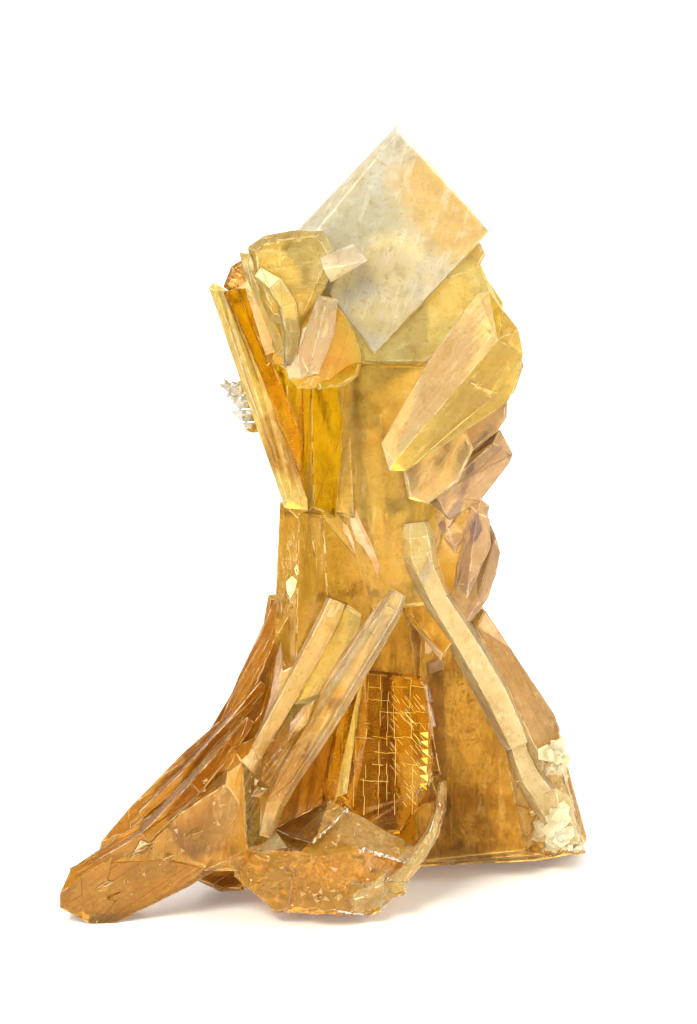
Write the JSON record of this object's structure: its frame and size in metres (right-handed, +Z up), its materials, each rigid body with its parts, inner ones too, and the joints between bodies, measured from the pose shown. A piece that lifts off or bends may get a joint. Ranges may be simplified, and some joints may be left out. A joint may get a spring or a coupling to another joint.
{
  "type": "calcite crystal cluster",
  "caption": "Hand-sized bow-tie cluster of intergrown golden calcite rhombs, blades and bars, narrow at the waist and standing on its broken base.",
  "frame": {"origin": "middle of the bounding box's bottom, on the flat where the cluster was broken off its rock", "axes": "+Z up to the tip of the summit rhomb; -Y out of the face with the two front bars and the broken lump; +X towards the slab with the long pale bar"},
  "size_m": [0.0962, 0.0684, 0.1385],
  "materials": {
    "calcite_cluster": "clear to cloudy golden calcite, glassy cleavage faces with frosted growth steps"
  },
  "bodies": {
    "root": {"calcite_cluster": "calcite_cluster"}
  },
  "joints": []
}
